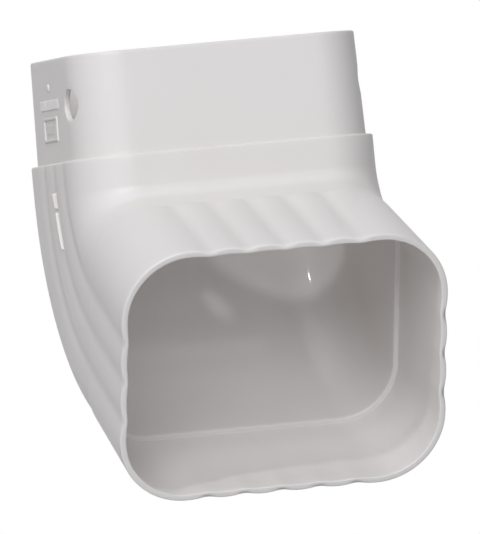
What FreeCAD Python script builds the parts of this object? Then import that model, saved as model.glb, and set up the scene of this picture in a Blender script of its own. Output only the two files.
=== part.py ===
import FreeCAD, Part
import math
import os

# Downspout elbow: one moulding of white vinyl, in millimetres.
# The origin is the middle of the spigot where it meets the shoulder.
# +Z runs up along the spigot and the socket opens towards -Y, tipped down.
# The elbow is the same left and right of X = 0, but for the gate ribs.

# Spigot, the plain end that goes into the next fitting
spigot_width = 82.0
spigot_depth = 63.2
spigot_corner = 14.5
spigot_height = 28.2
spigot_lead_in = 0.65
spigot_lip_bevel = 0.5
spigot_wall = 1.9

# Body and bend
shoulder_step = 1.8
shoulder_bevel = 0.35
outlet_fall_angle = 23.7
throat_radius = 5.0
bend_start_drop = 8.2
neck_length = 5.9
wall = 1.9

# Bore, whose corners are short flats that stay within 0.1 of the round
bore_flat_count = 8
bore_opening_drop = 4.0

# Socket, the fluted end that goes over the pipe
socket_over_spigot = 4.35
socket_length = 38.6
socket_draft = 1.7
socket_ramp = 1.2
ramp_start_step = 0.1
socket_wall = 1.8
inner_draft = 0.9
stop_inset = 1.9
stop_width = 1.35
rim_bevel = 0.4

# Flutes of the socket, shallow valleys between broad crests
wide_flute_count = 5
wide_flute_margin = 0.5
narrow_flute_count = 3
narrow_flute_margin = 0.3
flute_depth = 0.55
flute_valley_share = 0.3
inner_flute_depth = 0.3

# Side flutes of the body, which run on round the bend to the narrow sides of the socket
front_flute_margin = 4.4
shoulder_flute_closeness = 1.2
body_flute_depth = 0.5
body_flute_width = 5.8
body_flute_floor = 1.8

# Round holes through the front corners of the spigot
corner_hole_diameter = 8.6
corner_hole_overhang = 1.8
corner_hole_height = 14.9

# Gate ribs left by moulding, in the middle flute of the left side
rib_width = 0.7
rib_proud = 0.15
rib_root = 1.2
upper_rib_top = 7.3
upper_rib_length = 4.4
rib_gap = 0.8
lower_rib_length = 10.8

# Derived sizes
turn = 90.0 - outlet_fall_angle
flat_half_x = spigot_width / 2 - spigot_corner
flat_half_v = spigot_depth / 2 - spigot_corner
body_radius = spigot_corner + shoulder_step
mouth_radius = spigot_corner + socket_over_spigot
stop_radius = mouth_radius - socket_wall - inner_draft - stop_width
bend_radius = flat_half_v + body_radius + throat_radius
narrow_flute_pitch = 2 * (flat_half_v - narrow_flute_margin) / narrow_flute_count
body_flute_pitch = narrow_flute_pitch - shoulder_flute_closeness
cut_overlap = 2.0

X_AXIS = FreeCAD.Vector(1, 0, 0)
ORIGIN = FreeCAD.Vector(0, 0, 0)
bend_centre = FreeCAD.Vector(0, -bend_radius, -bend_start_drop)


def flow(angle):
    """Unit vector along the water way, after it has turned by this angle."""
    a = math.radians(angle)
    return FreeCAD.Vector(0, -math.sin(a), -math.cos(a))


def throat_way(angle):
    """Unit vector from the middle of a section towards the inside of the bend."""
    a = math.radians(angle)
    return FreeCAD.Vector(0, -math.cos(a), math.sin(a))


def bend_middle(angle):
    """Middle of the section that stands in the bend after this much turn."""
    return bend_centre - throat_way(angle) * bend_radius


outlet = flow(turn)
crease = bend_middle(turn) + outlet * neck_length
mouth = crease + outlet * socket_length
stop = crease + outlet * stop_inset


def flute_runs(half_length, count, margin, depth):
    """Fluted side as runs of points (along, out): half a crest, then valley and crest in turn."""
    half = (half_length - margin) / count
    valley = half * flute_valley_share
    crest = half - valley
    slope = 2 * math.atan(depth / half)

    def sag(reach, distance):
        radius = reach / math.sin(slope)
        return radius - math.sqrt(radius ** 2 - distance ** 2)

    turn_out = -sag(crest, crest)
    floor_out = turn_out - sag(valley, valley)
    half_crest_out = -sag(crest, crest / 2)
    start = -count * half
    runs = [[(-half_length, 0), (start, 0)]]
    runs.append([(start, 0), (start + crest / 2, half_crest_out), (start + crest, turn_out)])
    for number in range(count):
        middle = start + half + number * 2 * half
        top = middle + half
        runs.append([(middle - valley, turn_out), (middle, floor_out), (middle + valley, turn_out)])
        if number < count - 1:
            runs.append([(top - crest, turn_out), (top, 0), (top + crest, turn_out)])
    end = -start
    runs.append([(end - crest, turn_out), (end - crest / 2, half_crest_out), (end, 0)])
    runs.append([(end, 0), (half_length, 0)])
    return runs


def corner_runs(half_length, radius, flats):
    """Quarter round at the end of a side as one arc, or as a number of short flats."""
    steps = flats if flats else 2
    points = []
    for k in range(steps + 1):
        a = math.radians(90.0 * k / steps)
        points.append((half_length + radius * math.sin(a), radius * (math.cos(a) - 1)))
    if flats:
        return [[points[k], points[k + 1]] for k in range(flats)]
    return [points]


def section(middle, angle, radius, flute=0.0, flats=0):
    """Closed outline of four sides joined by corners of this radius, in a section plane."""
    wide_side = (flat_half_x, flat_half_v, wide_flute_count, wide_flute_margin)
    narrow_side = (flat_half_v, flat_half_x, narrow_flute_count, narrow_flute_margin)
    edges = []
    for number, side in enumerate((wide_side, narrow_side, wide_side, narrow_side)):
        half_length, reach, count, margin = side
        a = math.radians(90 * number)
        runs = [[(-half_length, 0), (half_length, 0)]]
        if flute:
            runs = flute_runs(half_length, count, margin, flute)
        for run in runs + corner_runs(half_length, radius, flats):
            spots = []
            for along, out in run:
                x = along * math.cos(a) + (reach + radius + out) * math.sin(a)
                v = (reach + radius + out) * math.cos(a) - along * math.sin(a)
                spots.append(middle + X_AXIS * x + throat_way(angle) * v)
            if len(spots) == 2:
                edges.append(Part.makeLine(*spots))
            else:
                edges.append(Part.Arc(*spots).toShape())
    return Part.Wire(edges)


def loft(sections):
    """Solid with straight walls from each section to the next."""
    return Part.makeLoft(sections, True, True)


def bend_of(outline):
    """Solid that the outline at the start of the bend sweeps as it turns."""
    return Part.Face(outline).revolve(bend_centre, X_AXIS, -turn)


def spigot_block():
    """Tapered outside of the spigot, with its lip bevelled."""
    lip_radius = spigot_corner - spigot_lead_in
    below_lip = spigot_height - spigot_lip_bevel
    lip_start = FreeCAD.Vector(0, 0, below_lip)
    lip_end = FreeCAD.Vector(0, 0, spigot_height)
    return loft([
        section(ORIGIN, 0, spigot_corner),
        section(lip_start, 0, lip_radius),
        section(lip_end, 0, lip_radius - spigot_lip_bevel),
    ])


def side_flute_path(number):
    """Line of a side flute: y at the shoulder, height where it turns, and its turning radius."""
    finish = crease + throat_way(turn) * number * narrow_flute_pitch
    y = front_flute_margin - flat_half_v + (1 - number) * body_flute_pitch
    fall = math.radians(outlet_fall_angle)
    reach = (y - finish.y) / math.cos(fall)
    turn_height = finish.z + reach * math.sin(fall) + reach
    radius = reach / math.tan(math.radians(turn / 2))
    return y, turn_height, radius


def side_flute(side, number):
    """Cutter for one side flute of the body: down from the shoulder, then round to the crease."""
    y, turn_height, radius = side_flute_path(number)
    face_x = flat_half_x + body_radius
    slope = (body_flute_width - body_flute_floor) / 2 / body_flute_depth
    outer_half = body_flute_width / 2 + slope * cut_overlap
    floor_half = body_flute_floor / 2
    points = []
    for out, across in (
        (-body_flute_depth, -floor_half),
        (-body_flute_depth, floor_half),
        (cut_overlap, outer_half),
        (cut_overlap, -outer_half),
    ):
        points.append(FreeCAD.Vector(side * (face_x + out), y + across, turn_height))
    face = Part.Face(Part.makePolygon(points + points[:1]))
    upper = face.extrude(FreeCAD.Vector(0, 0, cut_overlap - turn_height))
    lower = face.revolve(FreeCAD.Vector(0, y - radius, turn_height), X_AXIS, -turn)
    return upper.fuse(lower)


def body_block():
    """Outside of the body: bevelled shoulder, straight part, bend and neck."""
    below_bevel = FreeCAD.Vector(0, 0, -shoulder_bevel)
    straight = loft([
        section(ORIGIN, 0, body_radius - shoulder_bevel),
        section(below_bevel, 0, body_radius),
        section(bend_middle(0), 0, body_radius),
    ])
    neck = loft([section(bend_middle(turn), turn, body_radius), section(crease, turn, body_radius)])
    block = straight.fuse([bend_of(section(bend_middle(0), 0, body_radius)), neck])
    flutes = [side_flute(side, number) for side in (-1, 1) for number in (-1, 0, 1)]
    return block.cut(flutes)


def socket_block():
    """Fluted outside of the socket: a short ramp, the sleeve and its bevelled rim."""
    before_rim = mouth - outlet * rim_bevel
    return loft([
        section(crease, turn, body_radius + ramp_start_step, body_flute_depth),
        section(crease + outlet * socket_ramp, turn, mouth_radius - socket_draft, flute_depth),
        section(before_rim, turn, mouth_radius, flute_depth),
        section(mouth, turn, mouth_radius - rim_bevel, flute_depth),
    ])


def bore():
    """Water way from the top of the spigot to the pipe stop."""
    flats = bore_flat_count
    narrow = spigot_corner - spigot_wall
    wide = body_radius - wall
    above = FreeCAD.Vector(0, 0, spigot_height + cut_overlap)
    opened = FreeCAD.Vector(0, 0, -bore_opening_drop)
    upper = loft([
        section(above, 0, narrow, flats=flats),
        section(ORIGIN, 0, narrow, flats=flats),
        section(opened, 0, wide, flats=flats),
        section(bend_middle(0), 0, wide, flats=flats),
    ])
    lower = loft([
        section(bend_middle(turn), turn, wide, flats=flats),
        section(stop, turn, stop_radius, flats=flats),
    ])
    return upper.fuse([bend_of(section(bend_middle(0), 0, wide, flats=flats)), lower])


def socket_bore():
    """Fluted inside of the socket, from the pipe stop to the mouth."""
    inner = mouth_radius - socket_wall
    past_mouth = mouth + outlet * cut_overlap
    return loft([
        section(stop, turn, inner - inner_draft, inner_flute_depth, bore_flat_count),
        section(past_mouth, turn, inner, inner_flute_depth, bore_flat_count),
    ])


def corner_holes():
    """Cutter for the round holes through both front corners of the spigot."""
    y = -flat_half_v - corner_hole_overhang
    start = FreeCAD.Vector(-spigot_width, y, corner_hole_height)
    return Part.makeCylinder(corner_hole_diameter / 2, 2 * spigot_width, start, X_AXIS)


def gate_ribs():
    """Two thin ribs in the middle flute of the left side, one straight and one bent."""
    y, turn_height, radius = side_flute_path(0)
    x = -flat_half_x - body_radius - rib_proud
    depth = rib_root + rib_proud
    foot = FreeCAD.Vector(x, y - rib_width / 2, -upper_rib_top - upper_rib_length)
    upper = Part.makeBox(depth, rib_width, upper_rib_length, foot)
    flute_centre = FreeCAD.Vector(0, y - radius, turn_height)
    corner = FreeCAD.Vector(x, y - rib_width / 2, turn_height)
    rib_end = Part.makePlane(depth, rib_width, corner)
    lower = rib_end.revolve(flute_centre, X_AXIS, -math.degrees(lower_rib_length / radius))
    drop = upper_rib_top + upper_rib_length + rib_gap + turn_height
    lower.rotate(flute_centre, X_AXIS, -math.degrees(drop / radius))
    return [upper, lower]


def elbow():
    """The whole moulding as one solid."""
    outside = spigot_block().fuse([body_block(), socket_block()] + gate_ribs())
    solid = outside.cut([bore(), socket_bore(), corner_holes()])
    return solid.removeSplitter()


if __name__ == "__main__":
    os.makedirs("parts", exist_ok=True)
    part = elbow()
    part.exportStep("parts/downspout_elbow.step")
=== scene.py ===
# %% [markdown]
# # Downspout elbow in white vinyl
# This is the short bent fitting that turns the water of a rectangular
# downspout away from a wall. It is one moulding: a plain spigot that goes up
# into the next fitting, a bend with three shallow flutes on each side, and a
# fluted socket that goes over the pipe below.
# The CAD model fixes every size. Here the same moulding gets a finer skin,
# with soft edges that catch the light, and the satin finish of moulded vinyl.

# %% Load the CAD frame
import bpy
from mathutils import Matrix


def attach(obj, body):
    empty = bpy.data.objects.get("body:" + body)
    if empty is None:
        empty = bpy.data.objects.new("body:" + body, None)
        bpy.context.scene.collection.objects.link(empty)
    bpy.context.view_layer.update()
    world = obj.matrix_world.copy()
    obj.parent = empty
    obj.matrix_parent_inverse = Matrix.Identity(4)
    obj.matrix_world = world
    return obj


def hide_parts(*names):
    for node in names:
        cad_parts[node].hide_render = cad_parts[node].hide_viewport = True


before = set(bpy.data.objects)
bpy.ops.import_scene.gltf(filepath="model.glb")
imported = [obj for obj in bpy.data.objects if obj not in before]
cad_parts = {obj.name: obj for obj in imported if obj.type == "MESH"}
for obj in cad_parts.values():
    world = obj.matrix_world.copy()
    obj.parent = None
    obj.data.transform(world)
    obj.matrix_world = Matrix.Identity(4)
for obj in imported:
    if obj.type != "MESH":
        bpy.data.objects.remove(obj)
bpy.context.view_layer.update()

# %% Tools for this lesson
import math

import bpy
import numpy as np
from mathutils import Matrix, Vector

NODE = "downspout_elbow"
MM = 0.001

# %% [markdown]
# ## Sizes
# All lengths are in millimetres, as in the CAD source. Every cross-section of
# the fitting is the same small rectangle of straight sides, blown out by a
# radius. A wider section only has a larger radius, so the corners stay
# concentric, as they are on the real moulding.

# %% Sizes of the moulding
CORE_X, CORE_V = 26.5, 17.1      # half sides of the inner rectangle
SPIGOT_R = 14.5                  # corner radius at the foot of the spigot
SPIGOT_TOP = 28.2                # its height above the shoulder
SPIGOT_LEAN = 0.65               # how far each side leans in, foot to lip
SPIGOT_WALL = 1.9
BODY_STEP = 1.8                  # width of the shoulder
BODY_SWELL = 0.35                # the body widens a little towards the socket
SWELL_START = 12.0               # where that begins, below the shoulder
WALL = 1.9
BEND_R = 38.4                    # radius of the middle line's arc
BEND_DROP = 8.2                  # straight run before the arc
TURN = math.radians(66.3)
NECK = 5.9                       # straight run after the arc, up to the crease
CREASE_STEP = 0.5                # length of the small step where the socket starts
SOCKET = 38.6                    # length of the socket
SOCKET_GROWTH = 4.35             # mouth against spigot, a side
SOCKET_DRAFT = 1.7               # the part of it that comes between crease and mouth
SOCKET_WALL = 1.8
INNER_LEAN = 0.9                 # the socket's inside narrows by this to the stop
STOP_BACK = 36.7                 # pipe stop, measured back from the mouth
STOP_WIDTH = 1.35

BEND_END = BEND_DROP + BEND_R * TURN
CREASE = BEND_END + NECK
MOUTH = CREASE + SOCKET
STOP = MOUTH - STOP_BACK
print("middle line from shoulder to mouth: %.1f mm" % MOUTH)

# %% [markdown]
# ## The middle line
# The water's path is a straight line down, an arc of a circle, and a straight
# line out. One number, the distance along it, finds the middle of a section
# and the two directions that it turns with. Worked out for whole arrays, this
# carries any profile round the bend.

# %% Middle line
def middle_line(s):
    """Middle and throat direction of the section at distance s below the shoulder.

    The angle grows evenly along the arc. The middle is the arc's centre plus
    the radius times the outward direction, and past the arc it runs straight on.
    """
    angle = np.clip((s - BEND_DROP) / BEND_R, 0, TURN)
    throat = np.stack([0 * s, -np.cos(angle), np.sin(angle)], -1)
    flow = np.stack([0 * s, -np.sin(angle), -np.cos(angle)], -1)
    centre = np.array([0, -BEND_R, -BEND_DROP])
    straight = np.where(s < BEND_DROP, s - BEND_DROP, np.maximum(s - BEND_END, 0))
    middle = centre - BEND_R * throat + straight[..., None] * flow
    return middle, throat


mouth_middle = middle_line(np.array([MOUTH]))[0][0]
print("middle of the mouth:", mouth_middle.round(2))

# %% [markdown]
# ## Round the section
# A point on the rim of a section is a point of the inner rectangle plus the
# radius times a direction. On the straight sides the direction is constant,
# and on a corner it swings through a right angle. Enough points on each side
# let every flute keep its roundness.

# %% Points round a section
CELLS_X, CELLS_V, CELLS_CORNER = 80, 56, 26


def section_points():
    """Base point, direction, side coordinate and side of each point round a section.

    Side 0 is the throat side, 1 is at +X, 2 is the back and 3 is at -X, each
    with the corner after it. The side coordinate is the distance from the
    middle of a straight side, and goes on round its corner.
    """
    base, way, along = [], [], []
    halves = [(CORE_X, CORE_V, CELLS_X), (CORE_V, CORE_X, CELLS_V)] * 2
    for side, (half, reach, cells) in enumerate(halves):
        cos, sin = math.cos(side * math.pi / 2), math.sin(side * math.pi / 2)
        turned = np.array([[cos, sin], [-sin, cos]])
        t = np.linspace(-half, half, cells, endpoint=False)
        flat = np.stack([t, np.full(cells, reach)], -1)
        base.append(flat @ turned.T)
        way.append(np.tile(turned @ [0, 1], (cells, 1)))
        along.append(t)
        swing = np.linspace(0, math.pi / 2, CELLS_CORNER, endpoint=False)
        base.append(np.tile(turned @ [half, reach], (CELLS_CORNER, 1)))
        way.append(np.stack([np.sin(swing), np.cos(swing)], -1) @ turned.T)
        along.append(half + swing * SPIGOT_R)
    side_number = np.repeat(np.arange(4), [h[2] + CELLS_CORNER for h in halves])
    return np.concatenate(base), np.concatenate(way), np.concatenate(along), side_number


BASE, WAY, ALONG, SIDE = section_points()
ROUND = len(BASE)
print("points round a section:", ROUND)

# %% [markdown]
# ## The wall in profile
# Cut the moulding along its path and the wall shows as one closed line: down
# the outside from the lip of the spigot, out at the shoulder, round the bend,
# up the small step where the flutes start, along the socket, over its rim, and
# back up the inside past the ledge that stops the pipe. A mould can't make a
# sharp corner, so each corner gets its own small radius. Those radii give the
# thin bright lines that tell the eye this is plastic.

# %% Profile with rounded corners
STOP_R = SPIGOT_R + SOCKET_GROWTH - SOCKET_WALL - INNER_LEAN - STOP_WIDTH
BORE_OPENS = 4.0                 # below the shoulder the bore is as wide as in the bend
CORNERS = [
    # distance along the path, corner radius of the section, rounding, step
    (-SPIGOT_TOP, SPIGOT_R - SPIGOT_LEAN, 0.55, 0.9),
    (0, SPIGOT_R, 0.3, 0.5),
    (0, SPIGOT_R + BODY_STEP, 0.5, 1.0),
    (SWELL_START, SPIGOT_R + BODY_STEP, 5.0, 1.0),
    (CREASE, SPIGOT_R + BODY_STEP + BODY_SWELL, 0.25, 0.3),
    (CREASE + CREASE_STEP, SPIGOT_R + SOCKET_GROWTH - SOCKET_DRAFT, 0.6, 3.0),
    (MOUTH, SPIGOT_R + SOCKET_GROWTH, 0.5, 0.6),
    (MOUTH, SPIGOT_R + SOCKET_GROWTH - SOCKET_WALL, 0.4, 3.0),
    (STOP, STOP_R + STOP_WIDTH, 0.25, 0.4),
    (STOP, STOP_R, 0.55, 1.3),
    (BORE_OPENS, SPIGOT_R + BODY_STEP - WALL, 2.5, 0.8),
    (0, SPIGOT_R - SPIGOT_WALL, 2.5, 0.9),
    (-SPIGOT_TOP, SPIGOT_R - SPIGOT_WALL, 0.45, 0.5),
]
ARC_CELLS = 4


def rounded_profile(corners):
    """Closed line through the corners, with an arc of the given radius in each.

    An arc touches both sides at the rounding times the cotangent of half the
    corner's angle. Between arcs, points are spaced by the step of that side.
    """
    line = np.array([c[:2] for c in corners], float)
    rounding = np.array([c[2] for c in corners])
    step = np.array([c[3] for c in corners])
    to_next = np.roll(line, -1, 0) - line
    length = np.linalg.norm(to_next, axis=1)
    way_out = to_next / length[:, None]
    way_in = np.roll(way_out, 1, 0)
    cross = way_in[:, 0] * way_out[:, 1] - way_in[:, 1] * way_out[:, 0]
    bend = np.arctan2(cross, (way_in * way_out).sum(1))
    reach = rounding * np.tan(np.abs(bend) / 2)
    parts = []
    for k in range(len(line)):
        swing = bend[k] * np.linspace(0, 1, ARC_CELLS + 1)
        side = np.sign(bend[k]) * rounding[k]
        start = line[k] - way_in[k] * reach[k]
        left = np.array([-way_in[k][1], way_in[k][0]])
        forward = np.outer(np.sin(swing), way_in[k])
        sideways = np.outer(1 - np.cos(swing), left)
        parts.append(start + side * (forward + sideways))
        n = (k + 1) % len(line)
        run = length[k] - reach[k] - reach[n]
        count = max(int(round(run / step[k])), 1)
        t = np.linspace(0, 1, count + 1)[1:-1]
        parts.append(parts[-1][-1] + np.outer(t * run, way_out[k]))
    return np.concatenate(parts)


PROFILE = rounded_profile(CORNERS)
OUTSIDE = np.arange(len(PROFILE)) < np.argmax(PROFILE[:, 0])
print("rows along the profile:", len(PROFILE))
print("points in the skin:", len(PROFILE) * ROUND)

# %% [markdown]
# ## Flutes
# A flute is a shallow valley between two broad crests. Seen end on it is two
# circular arcs that meet on a slope, the crest wide and the valley narrow. The
# socket has five on its wide sides and three on its narrow ones, and the
# three go on round the bend. They stiffen a wall that is under 2 mm thick, and
# they are what one sees first from a step away.

# %% Shape of the flutes
WIDE_PITCH, NARROW_PITCH = 10.4, 11.2        # on the socket's wide and narrow sides
FLUTE_DEPTH = 0.55
INNER_FLUTE_DEPTH = 0.3
VALLEY_SHARE = 0.3               # of the pitch, and the crest takes the rest
BODY_FLUTE_DEPTH = 0.5
BODY_FLUTE_PITCH = 10.0
BODY_FLUTE_LEAD = 2.7            # the middle flute lies this far in front of the middle
SIDE_FLUTES = (-1, 0, 1)         # the back, middle and front flute of the body


def valley_depth(from_valley, half, depth):
    """How far the wall sinks, by the distance from the middle of a valley.

    Crest and valley are arcs of circles that meet with the same slope, so the
    depth is one radius less a square root near the crest, and the full depth
    less such a term near the valley's bottom. Past half a pitch it is zero.
    """
    valley = half * VALLEY_SHARE
    crest = half - valley
    slope = 2 * math.atan(depth / half)
    crest_r, valley_r = crest / math.sin(slope), valley / math.sin(slope)
    from_crest = np.clip(half - from_valley, 0, crest)
    on_crest = crest_r - np.sqrt(crest_r ** 2 - from_crest ** 2)
    in_valley = valley_r - np.sqrt(valley_r ** 2 - np.minimum(from_valley, valley) ** 2)
    return np.where(from_valley < valley, depth - in_valley, on_crest)


def socket_flutes(depth):
    """Depth of the socket's flutes at each point round the section.

    A wide side has five and a narrow one three, so the last valley lies two
    pitches from the middle, or one.
    """
    wide = SIDE % 2 == 0
    pitch = np.where(wide, WIDE_PITCH, NARROW_PITCH)
    last = np.where(wide, 2, 1)
    nearest_one = np.clip(np.round(ALONG / pitch), -last, last)
    from_valley = np.abs(ALONG - nearest_one * pitch)
    on_wide = valley_depth(from_valley, WIDE_PITCH / 2, depth)
    on_narrow = valley_depth(from_valley, NARROW_PITCH / 2, depth)
    return np.where(wide, on_wide, on_narrow)


def flute_place(s, number):
    """Where a side flute of the body crosses the section at distance s.

    The flute runs straight down, then on an arc of its own that ends on the
    middle of its socket flute. A ray from the bend's centre through the section
    meets the straight run or that arc, whichever comes first.
    """
    mid, throat = middle_line(np.array([CREASE]))
    end = mid[0, 1:] + throat[0, 1:] * number * NARROW_PITCH
    y = -BODY_FLUTE_LEAD - number * BODY_FLUTE_PITCH
    reach = (y - end[0]) / math.sin(TURN)
    corner_z = end[1] + reach * math.cos(TURN)
    start_z = corner_z + reach
    radius = reach / math.tan(TURN / 2)
    mid, throat = middle_line(s)
    mid, throat = mid[:, 1:], throat[:, 1:]
    down = (y - mid[:, 0]) / throat[:, 0]
    from_arc = mid - [y - radius, start_z]
    forward = (throat * from_arc).sum(1)
    inside = np.maximum(forward ** 2 - (from_arc ** 2).sum(1) + radius ** 2, 0)
    on_arc = -forward - np.sqrt(inside)
    level = mid[:, 1] + throat[:, 1] * down
    return np.where(level > start_z, down, on_arc), radius, start_z


for number in SIDE_FLUTES:
    place, radius = flute_place(np.array([0.0, CREASE]), number)[:2]
    print("flute %2d: %.2f at the shoulder, %.2f at the crease, radius %.1f mm"
          % (number, *place, radius))

# %% [markdown]
# ## The skin
# Now every row of the profile becomes one section. The profile gives the
# distance along the path and the radius, the section gives the place round it,
# and the flutes take a little off the radius. Inside and outside are one
# closed surface, so the wall has its true thickness without a modifier.

# %% Skin as one array of points
def ease(t):
    """Zero below 0 and one above 1, with a soft start and end between."""
    t = np.clip(t, 0, 1)
    return t * t * (3 - 2 * t)


INNER_FADE = 16.0                # depth in the socket by which its inner flutes have faded
INNER_REST = 0.2                 # share of their depth that is left there
FAR = 1000.0                     # height of points that no side flute comes near


def past_step(r, foot, step):
    """Zero below a step in the radius and one above it, eased over its middle half."""
    return ease((r[:, None] - foot - step / 4) / (step / 2))


def sunk_by_flutes():
    """Depth taken off the radius, for every row and every point round it.

    The body's flutes come up on the shoulder and give way to the socket's at
    the crease. The inner ones start past the stop and grow towards the mouth.
    """
    s, r = PROFILE.T
    rows = s[:, None]
    in_socket = ease((rows - CREASE) / CREASE_STEP)
    on_body = past_step(r, SPIGOT_R, BODY_STEP) * (1 - in_socket)
    height = side_height()
    places = [flute_place(np.clip(s, 0, CREASE), number)[0] for number in SIDE_FLUTES]
    from_valley = np.min([np.abs(height - place[:, None]) for place in places], axis=0)
    body = valley_depth(from_valley, BODY_FLUTE_PITCH / 2, BODY_FLUTE_DEPTH)
    outer = socket_flutes(FLUTE_DEPTH) * in_socket + body * on_body
    near_mouth = INNER_REST + (1 - INNER_REST) * ease(1 - (MOUTH - rows) / INNER_FADE)
    past_stop = past_step(r, STOP_R, STOP_WIDTH)
    inner = socket_flutes(INNER_FLUTE_DEPTH) * past_stop * near_mouth
    return np.where(OUTSIDE[:, None], outer, inner)


def side_height():
    """Height of each point round the section above its middle, along the narrow sides.

    It goes on round the corners as length along the corner, and it is far away
    on the wide sides, where the body has no flutes.
    """
    height = np.full(ROUND, FAR)
    height[SIDE == 3] = ALONG[SIDE == 3]
    height[SIDE == 1] = -ALONG[SIDE == 1]
    for n, sign in ((0, 1), (2, -1)):
        corner = (SIDE == n) & (ALONG >= CORE_X)
        gone = ALONG[corner] - CORE_X
        height[corner] = sign * (CORE_V + SPIGOT_R * math.pi / 2 - gone)
    return height


def skin_points():
    """Middle of the row, plus the base point and the radius times its direction."""
    s, r = PROFILE.T
    middle, throat = middle_line(s)
    radius = r[:, None] - sunk_by_flutes()
    flat = BASE[None] + radius[..., None] * WAY[None]
    side = np.array([1.0, 0, 0])
    return middle[:, None] + flat[..., :1] * side + flat[..., 1:] * throat[:, None]


SKIN = skin_points()
print("skin spans", SKIN.min((0, 1)).round(2), "to", SKIN.max((0, 1)).round(2))

# %% [markdown]
# ## Corner holes
# A round hole goes through each front corner of the spigot. In a grid it starts
# as a square block of cells that is left out. The points round the block are
# drawn onto a circle, and the points further out follow less and less, so the
# mesh lines flow round the hole and the gloss stays clean. A quarter-round of
# a quarter of a millimetre joins the hole to both faces of the wall.

# %% Holes drawn into the grid
HOLE_R = 4.3
HOLE_Y, HOLE_Z = -18.9, 14.9
HOLE_EDGE = 0.25                 # radius of the quarter-round
EDGE_TURNS = np.radians([30, 60, 90])
HALF_ROWS, HALF_COLUMNS = 4, 5   # half of the block that is left out
FOLLOW = 2.2                     # how many block sizes out the points still follow


def wall_x(y, z, outside):
    """Half width of the spigot's wall at that y and z, on the corner too."""
    r = SPIGOT_R - (SPIGOT_LEAN * z / SPIGOT_TOP if outside else SPIGOT_WALL)
    beyond = np.maximum(-y - CORE_V, 0)
    return CORE_X + np.sqrt(np.maximum(r * r - beyond * beyond, 0))


def nearest(values, target):
    """Place of the value that lies nearest to the target."""
    return int(np.abs(values - target).argmin())


def pull_onto_circle(side, outside):
    """Moves the grid round one hole, and returns the row and column of its middle.

    Distance from there is counted in block sizes, as on a square. The circle's
    radius times that count gives the pulled place.
    """
    rows = np.flatnonzero((OUTSIDE == outside) & (PROFILE[:, 0] < 0))
    row = rows[nearest(-PROFILE[rows, 0], HOLE_Z)]
    columns = np.flatnonzero(side * SKIN[row, :, 0] > CORE_X)
    column = columns[nearest(SKIN[row, columns, 1], HOLE_Y)]
    reach_i, reach_j = int(HALF_ROWS * FOLLOW), int(HALF_COLUMNS * FOLLOW)
    i = np.arange(row - reach_i, row + reach_i + 1)
    j = np.arange(column - reach_j, column + reach_j + 1) % ROUND
    a = (np.arange(-reach_j, reach_j + 1) / HALF_COLUMNS)[None]
    b = (np.arange(-reach_i, reach_i + 1) / HALF_ROWS)[:, None]
    count = np.maximum(np.abs(a), np.abs(b))
    size = np.maximum(np.hypot(a, b), 1e-9)      # never zero, as it divides
    block = SKIN[np.ix_(i, j)]
    way_y = np.sign(block[0, -1, 1] - block[0, 0, 1])
    way_z = np.sign(block[-1, 0, 2] - block[0, 0, 2])
    radius = (HOLE_R + HOLE_EDGE) * count
    pull = ease((FOLLOW - count) / (FOLLOW - 1))
    y = block[..., 1] + pull * (HOLE_Y + way_y * radius * a / size - block[..., 1])
    z = block[..., 2] + pull * (HOLE_Z + way_z * radius * b / size - block[..., 2])
    x = side * wall_x(y, z, outside)
    moved = np.stack([x, y, z], -1)
    SKIN[np.ix_(i, j)] = np.where((pull > 0)[..., None], moved, block)
    return row, column


def block_rim(row, column, outside):
    """Rows and columns of the grid points round the left-out block, in order.

    Rows run up on the inside of the wall and down on the outside, so one of
    them is turned round, and both rims go the same way about the hole.
    """
    h, w = HALF_ROWS, HALF_COLUMNS
    up, across = np.arange(-h, h), np.arange(-w, w)
    i = np.concatenate([np.full(2 * w, -h), up, np.full(2 * w, h), -up])
    j = np.concatenate([across, np.full(2 * h, w), -across, np.full(2 * h, -w)])
    return row + (i if outside else -i), (column + j) % ROUND


def hole_ring(rim, side, outside, turn):
    """Ring of the quarter-round that leads from one face of the wall into the hole.

    Its radius is the hole's, plus the edge times one less the sine of the turn.
    It lies as deep in the wall as the edge times one less the cosine.
    """
    middle = [HOLE_Y, HOLE_Z]
    radius = HOLE_R + HOLE_EDGE * (1 - math.sin(turn))
    yz = middle + (rim[:, 1:] - middle) * radius / (HOLE_R + HOLE_EDGE)
    depth = HOLE_EDGE * (1 - math.cos(turn)) * (1 if outside else -1)
    x = side * (wall_x(yz[:, 0], yz[:, 1], outside) - depth)
    return np.column_stack([x, yz])


def open_hole(side, first_new):
    """Leaves the block out of both faces of the wall, and joins the rims by a tube.

    The tube is a stack of rings, each joined to the next by one face a point.
    It returns the points between the rims, numbered from first_new, and the faces.
    """
    rims = {}
    for outside in (True, False):
        row, column = pull_onto_circle(side, outside)
        i = np.arange(row - HALF_ROWS, row + HALF_ROWS)
        j = np.arange(column - HALF_COLUMNS, column + HALF_COLUMNS) % ROUND
        KEEP[np.ix_(i, j)] = False
        rims[outside] = block_rim(row, column, outside)
    outer = [hole_ring(SKIN[rims[True]], side, True, turn) for turn in EDGE_TURNS]
    inner = [hole_ring(SKIN[rims[False]], side, False, turn) for turn in EDGE_TURNS[::-1]]
    points = np.concatenate(outer + inner)
    between = first_new + np.arange(len(points)).reshape(len(outer + inner), -1)
    first, last = (i * ROUND + j for i, j in (rims[True], rims[False]))
    rings = np.stack([first, *between, last])
    near, far = rings[:-1], rings[1:]
    faces = np.stack([near, far, np.roll(far, -1, 1), np.roll(near, -1, 1)], -1)
    return points, faces.reshape(-1, 4)


KEEP = np.ones(SKIN.shape[:2], bool)
left_points, left_faces = open_hole(-1, KEEP.size)
right_points, right_faces = open_hole(1, KEEP.size + len(left_points))
print("cells left out for the holes:", int((~KEEP).sum()))

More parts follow.
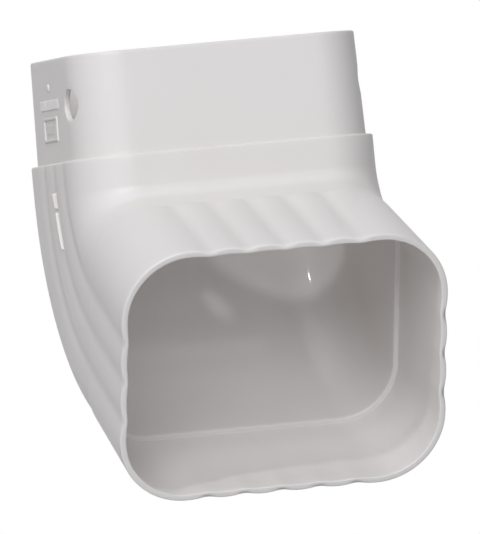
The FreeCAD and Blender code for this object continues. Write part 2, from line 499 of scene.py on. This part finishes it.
# %% [markdown]
# ## From numbers to a mesh
# Blender takes a mesh as a list of points and a list of faces, where each face
# is the numbers of its corners. In a grid those follow from row and column, so
# no point is ever handled by itself. A closed mesh has a volume, and the sign
# of that volume says which way its faces look.

# %% Mesh from arrays
def grid_faces(keep):
    """Four corners of every kept cell of a grid that closes on itself both ways."""
    rows, columns = keep.shape
    i, j = np.nonzero(keep)
    here, below = i * columns, (i + 1) % rows * columns
    j2 = (j + 1) % columns
    return np.stack([here + j, below + j, below + j2, here + j2], -1)


def new_piece(name, points_mm, faces):
    """Smooth mesh object from points in millimetres and faces.

    A negative volume says that the faces point inwards, and they are turned.
    """
    mesh = bpy.data.meshes.new(name)
    mesh.from_pydata(np.asarray(points_mm) * MM, [], [tuple(f) for f in faces])
    piece = bpy.data.objects.new(name, mesh)
    bpy.context.scene.collection.objects.link(piece)
    mesh.validate()
    mesh.polygons.foreach_set("use_smooth", np.ones(len(mesh.polygons), bool))
    volume = solid_volume(mesh)
    if volume < 0:
        mesh.flip_normals()
    mesh.update()
    print(name, len(mesh.polygons), "faces,", round(abs(volume) * 1e6, 2), "cm3")
    return piece


def solid_volume(mesh):
    """Signed volume: a sixth of the corner products of all triangles, added up."""
    mesh.calc_loop_triangles()
    points = np.empty(len(mesh.vertices) * 3)
    mesh.vertices.foreach_get("co", points)
    corners = np.empty(len(mesh.loop_triangles) * 3, np.int32)
    mesh.loop_triangles.foreach_get("vertices", corners)
    a, b, c = points.reshape(-1, 3)[corners.reshape(-1, 3)].transpose(1, 0, 2)
    return float((a * np.cross(b, c)).sum() / 6)


skin_corners = np.concatenate([SKIN.reshape(-1, 3), left_points, right_points])
skin_faces = np.concatenate([grid_faces(KEEP), left_faces, right_faces])
skin = new_piece("elbow_skin", skin_corners, skin_faces)
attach(skin, "root")
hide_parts(NODE)

# %% [markdown]
# ## Gate ribs
# Molten vinyl enters the mould through a narrow gate. Where it was cut away, two
# thin ribs stay in the middle flute of the left side. Each is a small dome
# carried along the line of that flute, with its foot inside the wall, so no
# gap can open under it.

# %% Gate ribs
FACE_X = CORE_X + SPIGOT_R + BODY_STEP       # half width over the crests
RIB_FOOT = 0.9                   # depth of the foot below the crests
RIB_END = 0.4                    # length over which an end rounds off
RIB_TIP = 0.1                    # share of that length which the blunt tip cuts off
RIB_ROWS, RIB_COLUMNS = 48, 17
GATE_RIBS = [
    # top and bottom along the flute, half width and rise at the top, and at the bottom
    (7.9, 12.3, 0.5, 0.75, 0.22, 0.3),
    (13.1, 23.9, 0.35, 0.4, 0.35, 0.4),
]


def rib_line(down):
    """The y, z and turned angle of the middle flute at that length from the shoulder.

    It goes straight down to its turn, then on its own arc, where the angle is
    the length over the radius.
    """
    radius, start_z = flute_place(np.array([CREASE]), 0)[1:]
    angle = np.maximum(down + start_z, 0) / radius
    y = -BODY_FLUTE_LEAD - radius * (1 - np.cos(angle))
    z = -np.minimum(down, -start_z) - radius * np.sin(angle)
    return y, z, angle


def gate_rib(top, bottom, half_top, rise_top, half_bottom, rise_bottom):
    """Dome along the flute: a fourth-power oval across, which shrinks at both ends."""
    down = np.linspace(top, bottom, RIB_ROWS)
    share = (down - top) / (bottom - top)
    to_end = np.minimum(down - top, bottom - down)
    shrink = np.sqrt(1 - (1 - np.clip(to_end / RIB_END, RIB_TIP, 1)) ** 2)
    half = (half_top + (half_bottom - half_top) * share) * shrink
    rise = (rise_top + (rise_bottom - rise_top) * share + RIB_FOOT) * shrink
    swing = np.linspace(0, math.pi, RIB_COLUMNS)
    across = half[:, None] * np.sign(np.cos(swing)) * np.sqrt(np.abs(np.cos(swing)))
    out = rise[:, None] * np.sqrt(np.abs(np.sin(swing))) - RIB_FOOT
    y, z, angle = rib_line(down)
    y = y[:, None] + across * np.cos(angle)[:, None]
    z = z[:, None] + across * np.sin(angle)[:, None]
    points = np.stack([-FACE_X - out, y, z], -1).reshape(-1, 3)
    tube = np.ones((RIB_ROWS, RIB_COLUMNS), bool)
    tube[-1] = False
    first = np.arange(RIB_COLUMNS)
    last = first + (RIB_ROWS - 1) * RIB_COLUMNS
    return points, [*grid_faces(tube).tolist(), first.tolist(), last[::-1].tolist()]


def joined(blocks):
    """Points and faces of several blocks as one, with the faces counted on."""
    points, faces = [], []
    for block_points, block_faces in blocks:
        start = sum(map(len, points))
        points.append(block_points)
        faces += [[start + corner for corner in face] for face in block_faces]
    return np.concatenate(points), faces


ribs = new_piece("gate_ribs", *joined([gate_rib(*rib) for rib in GATE_RIBS]))

# %% [markdown]
# ## Raised marks
# On the left of the spigot the mould leaves a dot, a bar and a small frame. They
# stay blank here, with fine ridges in place of anything to read. Each is a
# height over a fine grid on the wall. Outside its edge the height is below
# the wall, so only the mark itself shows.

# %% Raised marks
MARK_RISE = 0.4
MARK_SINK = 0.25                 # depth of the grid under the wall beside a mark
MARK_BACK = 0.8                  # depth of the block's back
MARK_SOFT = 0.35                 # width of the soft edge
MARK_CELL = 0.15                 # spacing of the grid
MARK_MARGIN = 0.5                # of the grid round a mark
RIDGE_SPACING = 1.3
RIDGE_DEPTH = 0.4                # share of a mark's rise
DOT_R = 1.1
BAR_BLOCKS = [(-3.0, 6.0), (6.6, 2.7)]       # middle and half length of each
BAR_HALF = 1.4                   # half its height
PANEL_OUTER, PANEL_INNER = (7.2, 3.4), (6.1, 2.5)    # half sizes of the frame
PANEL_FIELD, FIELD_RISE = (4.4, 1.4), 0.7    # half sizes, and its share of the rise


def slab(along, up, half_along, half_up):
    """One inside a rectangle and zero outside, with a soft edge."""
    beyond = np.maximum(np.abs(along) - half_along, np.abs(up) - half_up)
    return ease(0.5 - beyond / MARK_SOFT)


def ridged(along):
    """Fine upright ridges: a wave between full height and a share of it."""
    return 1 - RIDGE_DEPTH * (0.5 - 0.5 * np.cos(2 * math.pi * along / RIDGE_SPACING))


def dot(along, up):
    """One inside a circle and zero outside, with a soft edge."""
    return ease(0.5 - (np.hypot(along, up) - DOT_R) / MARK_SOFT)


def bar(along, up):
    """Two ridged blocks end to end."""
    blocks = [slab(along - middle, up, half, BAR_HALF) for middle, half in BAR_BLOCKS]
    return sum(blocks) * ridged(along)


def framed_panel(along, up):
    """A frame, made as one rectangle less a smaller one, round a ridged field."""
    border = slab(along, up, *PANEL_OUTER) - slab(along, up, *PANEL_INNER)
    return border + FIELD_RISE * slab(along, up, *PANEL_FIELD) * ridged(along + up)


MARKS = [
    # shape, half length and half height of its grid, y and z of its middle
    (dot, 1.3, 1.3, 1.6, 20.6),
    (bar, 9.5, 1.5, 0.9, 15.9),
    (framed_panel, 7.3, 3.5, 1.3, 9.3),
]


def raised_mark(shape, half_length, half_height, y_middle, z_middle):
    """Block whose front is the wall's plane plus the mark's height.

    A fan of triangles from one middle point to the rim closes its flat back.
    """
    count_y = 2 * int((half_length + MARK_MARGIN) / MARK_CELL) + 1
    count_z = 2 * int((half_height + MARK_MARGIN) / MARK_CELL) + 1
    along = (np.arange(count_y) - count_y // 2)[:, None] * MARK_CELL
    up = (np.arange(count_z) - count_z // 2)[None] * MARK_CELL
    rise = (MARK_RISE + MARK_SINK) * shape(along, up) - MARK_SINK
    rise[[0, -1]] = -MARK_BACK
    rise[:, [0, -1]] = -MARK_BACK
    y = y_middle + along + 0 * up
    z = z_middle + up + 0 * along
    front = np.stack([-wall_x(y, z, True) - rise, y, z], -1).reshape(-1, 3)
    back = [[MARK_BACK - wall_x(y_middle, z_middle, True), y_middle, z_middle]]
    inner = np.zeros(rise.shape, bool)
    inner[:-1, :-1] = True
    ids = np.arange(rise.size).reshape(rise.shape)
    rim = np.concatenate([ids[0], ids[1:-1, -1], ids[-1, ::-1], ids[-2:0:-1, 0]])
    fan = np.stack([rim, np.roll(rim, -1), np.full(len(rim), rise.size)], -1)
    return np.concatenate([front, back]), [*grid_faces(inner).tolist(), *fan.tolist()]


marks = new_piece("raised_marks", *joined([raised_mark(*mark) for mark in MARKS]))
for piece in (ribs, marks):
    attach(piece, "root")
    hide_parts(NODE)

# %% [markdown]
# ## Satin moulded vinyl
# Rainwater goods are rigid PVC, whitened with titanium dioxide and pressed
# against a steel mould. The eye gets a clean off-white with a faint warmth.
# The body of the gloss is a wide, soft satin, so that the flutes stay readable
# even where the surface is seen at a low angle and mirrors the white around it.
# Over it lies a thin, smooth outer skin, which keeps the small sharp glints on
# the edges. The surface is never quite flat: it has a slow waviness where the
# plastic shrank, and a very fine grain.

# %% Colours and nodes
def linear(hex_colour):
    """Linear colour of an sRGB hex value: the sRGB curve undone, channel by channel."""
    srgb = np.array([int(hex_colour[k:k + 2], 16) for k in (1, 3, 5)]) / 255
    low, high = srgb / 12.92, ((srgb + 0.055) / 1.055) ** 2.4
    return (*np.where(srgb <= 0.04045, low, high).tolist(), 1.0)


def add_node(tree, kind, settings=None, inputs=None):
    """Adds one node, sets its properties, and gives its inputs values or links."""
    node = tree.nodes.new(kind)
    for key, value in (settings or {}).items():
        setattr(node, key, value)
    for key, value in (inputs or {}).items():
        if isinstance(value, bpy.types.NodeSocket):
            tree.links.new(value, node.inputs[key])
        else:
            node.inputs[key].default_value = value
    return node


def new_material(name):
    """Material with only an output node, and its node tree."""
    material = bpy.data.materials.new(name)
    material.use_nodes = True
    tree = material.node_tree
    tree.nodes.clear()
    return material, tree, tree.nodes.new("ShaderNodeOutputMaterial")


print("#808080 is", round(linear("#808080")[0], 3), "of full white in linear light")

# %% White rigid PVC, injection moulded in a satin mould
VINYL_WHITE = "#DAD5D2"
VINYL_SHADE = "#D4CECB"
VINYL_IOR = 1.53                 # typical of rigid PVC
SATIN_LOW, SATIN_HIGH = 0.56, 0.64           # roughness, which drifts with the cloud
OUTER_SKIN, OUTER_SKIN_ROUGHNESS = 0.18, 0.08        # its share, and a smooth gloss
CLOUD_SIZE = 28.6                # mm, where the melt cooled faster or slower
WAVE_SIZE = 14.3                 # mm, about one and a half flutes
GRAIN_SIZE = 1.11                # mm, drawn coarse: a mould's grain of 0.05 mm can't show
WAVE_BUMP, WAVE_HEIGHT = 0.05, 1.0           # share, and full height in mm
GRAIN_BUMP, GRAIN_HEIGHT = 0.03, 0.2


def noise_scale(size_mm):
    """Scale of a noise whose features have that size: how many go into a metre."""
    return 1 / (size_mm * MM)


def make_vinyl(name):
    """Off-white vinyl: a cloud of two near colours, a drifting satin, waves and grain."""
    material, tree, output = new_material(name)
    where = add_node(tree, "ShaderNodeTexCoord").outputs["Object"]
    cloud = add_node(tree, "ShaderNodeTexNoise", inputs={
        "Vector": where, "Scale": noise_scale(CLOUD_SIZE), "Detail": 3.0})
    colour = add_node(tree, "ShaderNodeMix", {"data_type": "RGBA"}, {
        "Factor": cloud.outputs[0], "A": linear(VINYL_SHADE), "B": linear(VINYL_WHITE)})
    satin = add_node(tree, "ShaderNodeMapRange", inputs={
        "Value": cloud.outputs[0], "To Min": SATIN_LOW, "To Max": SATIN_HIGH})
    wave = add_node(tree, "ShaderNodeTexNoise", inputs={
        "Vector": where, "Scale": noise_scale(WAVE_SIZE), "Detail": 1.0})
    slow = add_node(tree, "ShaderNodeBump", inputs={
        "Height": wave.outputs[0], "Strength": WAVE_BUMP, "Distance": WAVE_HEIGHT * MM})
    grain = add_node(tree, "ShaderNodeTexNoise", inputs={
        "Vector": where, "Scale": noise_scale(GRAIN_SIZE), "Detail": 2.0})
    fine = add_node(tree, "ShaderNodeBump", inputs={
        "Height": grain.outputs[0], "Strength": GRAIN_BUMP, "Distance": GRAIN_HEIGHT * MM,
        "Normal": slow.outputs["Normal"]})
    shader = add_node(tree, "ShaderNodeBsdfPrincipled", inputs={
        "Base Color": colour.outputs[2], "Roughness": satin.outputs[0],
        "IOR": VINYL_IOR, "Normal": fine.outputs["Normal"], "Coat IOR": VINYL_IOR,
        "Coat Weight": OUTER_SKIN, "Coat Roughness": OUTER_SKIN_ROUGHNESS})
    tree.links.new(shader.outputs["BSDF"], output.inputs["Surface"])
    return material


vinyl = make_vinyl("white PVC injection moulded")
for piece in (skin, ribs, marks):
    piece.data.materials.append(vinyl)
node_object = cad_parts[NODE]
node_object.data.materials.clear()
node_object.data.materials.append(vinyl)
print("nodes in the vinyl:", len(vinyl.node_tree.nodes))

# %% [markdown]
# ## Floor and white surroundings
# A fitting like this is photographed against plain white. The floor is pale
# and lies a little below the elbow, which hangs by its spigot. Surroundings
# bright enough to look white would also light the elbow from every side, and
# its flutes would drown. So the world asks what each ray is for. Rays from the
# camera, mirrored rays and rays through glass see white, at a strength of one.
# The rays that gather light for a matt surface find only a dim fill.

# %% Pale floor
PAPER_WHITE = "#EDEDEC"
FLOOR_Z = -0.16                  # metres, like all sizes of the floor and the lamps
FLOOR_R = 1.2
FLOOR_CORNERS = 96


def make_floor():
    """Flat disc as one face, whose corners are the radius times cosine and sine."""
    angle = np.linspace(0, 2 * math.pi, FLOOR_CORNERS, endpoint=False)
    height = np.full(FLOOR_CORNERS, FLOOR_Z)
    ring = np.column_stack([FLOOR_R * np.cos(angle), FLOOR_R * np.sin(angle), height])
    mesh = bpy.data.meshes.new("pale_floor")
    mesh.from_pydata(ring, [], [tuple(range(FLOOR_CORNERS))])
    floor = bpy.data.objects.new("pale_floor", mesh)
    bpy.context.scene.collection.objects.link(floor)
    material, tree, output = new_material("matt white paper")
    paper = add_node(tree, "ShaderNodeBsdfDiffuse", inputs={"Color": linear(PAPER_WHITE)})
    tree.links.new(paper.outputs[0], output.inputs["Surface"])
    mesh.materials.append(material)


make_floor()

# %% White surroundings with a dim fill
FILL_WHITE = "#F4F7FB"
FILL_STRENGTH = 0.06

world = bpy.data.worlds.new("white studio")
bpy.context.scene.world = world
world.use_nodes = True
sky = world.node_tree
sky.nodes.clear()
fill = add_node(sky, "ShaderNodeBackground", inputs={
    "Color": linear(FILL_WHITE), "Strength": FILL_STRENGTH})
white = add_node(sky, "ShaderNodeBackground", inputs={
    "Color": linear("#FFFFFF"), "Strength": 1.0})
ray = add_node(sky, "ShaderNodeLightPath").outputs
mirrored = add_node(sky, "ShaderNodeMath", {"operation": "MAXIMUM"}, {
    0: ray["Is Glossy Ray"], 1: ray["Is Transmission Ray"]})
seen = add_node(sky, "ShaderNodeMath", {"operation": "MAXIMUM"}, {
    0: ray["Is Camera Ray"], 1: mirrored.outputs[0]})
both = add_node(sky, "ShaderNodeMixShader", inputs={
    0: seen.outputs[0], 1: fill.outputs[0], 2: white.outputs[0]})
add_node(sky, "ShaderNodeOutputWorld", inputs={"Surface": both.outputs[0]})
print("surroundings: seen at 1.0, lighting at", FILL_STRENGTH)

# %% [markdown]
# ## Lamps
# One big softbox high in front does most of the work, and gives the broad soft
# light on the throat and the socket. A panel overhead lights the shoulder, and
# a weak softbox lifts the left side without filling its flutes. A small bare
# bulb adds the glint in the throat, and a harder edge to the shadows inside.

# %% Soft lamps
LAMP_WHITE = "#F7FBFF"
LAMP_AIM = (0, -0.03, -0.035)    # metres, the middle of the bend
LAMPS = [
    # name, place in metres, power in watts, width in metres
    ("front_softbox", (-0.7, -2.15, 1.1), 47, 1.6),
    ("left_softbox", (-1.5, -1.1, 1.2), 3, 1.4),
    ("ceiling_panel", (-0.2, -0.15, 1.7), 8, 1.2),
    ("bare_bulb", (-1.0, -0.9, 1.2), 5, 0.07),
]


def soft_lamp(name, place, power, size):
    """Square area lamp, whose light side is turned towards the elbow."""
    data = bpy.data.lights.new(name, "AREA")
    data.energy, data.size = power, size
    data.color = linear(LAMP_WHITE)[:3]
    lamp = bpy.data.objects.new(name, data)
    lamp.location = place
    aim = Vector(LAMP_AIM) - Vector(place)
    lamp.rotation_euler = aim.to_track_quat("-Z", "Y").to_euler()
    bpy.context.scene.collection.objects.link(lamp)
    print(name, power, "W,", round(aim.length, 2), "m away")


for lamp in LAMPS:
    soft_lamp(*lamp)

# %% [markdown]
# ## Camera
# The camera stands far away with a long lens, so that the sides stay nearly
# parallel, and it is rolled a few degrees, as the picture was. Its angles and
# its distance were found by laying the elbow's edges over the photograph.

# %% Camera as the photograph was taken
YAW, RISE, ROLL = math.radians(15.02), math.radians(-0.94), math.radians(5.53)
DISTANCE = 5776                  # mm from the middle of the shoulder
SHIFT_X, SHIFT_Y = -10.37, 31.42 # mm, where that point lies from the picture's middle
FOCAL_PX, IMAGE_HEIGHT = 21380, 534          # pixels
SENSOR = 36                      # mm, along the taller side of the picture
CLIP_END = 50                    # metres


def place_camera():
    """Camera on the line of sight, rolled, and moved so that the elbow keeps its place.

    The line of sight has the yaw and rise, right and up are square to it, and
    the roll turns those two about it.
    """
    level = math.cos(RISE)
    sight = Vector((math.sin(YAW) * level, math.cos(YAW) * level, -math.sin(RISE)))
    right = Vector((math.cos(YAW), -math.sin(YAW), 0))
    up = right.cross(sight)
    across = right * math.cos(ROLL) - up * math.sin(ROLL)
    above = right * math.sin(ROLL) + up * math.cos(ROLL)
    data = bpy.data.cameras.new("long_lens")
    data.sensor_width, data.clip_end = SENSOR, CLIP_END
    data.lens = FOCAL_PX * SENSOR / IMAGE_HEIGHT
    camera = bpy.data.objects.new("camera", data)
    camera.location = (-across * SHIFT_X - above * SHIFT_Y - sight * DISTANCE) * MM
    turned = Matrix((across, above, -sight)).transposed()
    camera.rotation_euler = turned.to_euler()
    bpy.context.scene.collection.objects.link(camera)
    bpy.context.scene.camera = camera
    print("lens", round(data.lens), "mm at", [round(c, 3) for c in camera.location])


place_camera()
bpy.context.scene.view_settings.view_transform = "Standard"
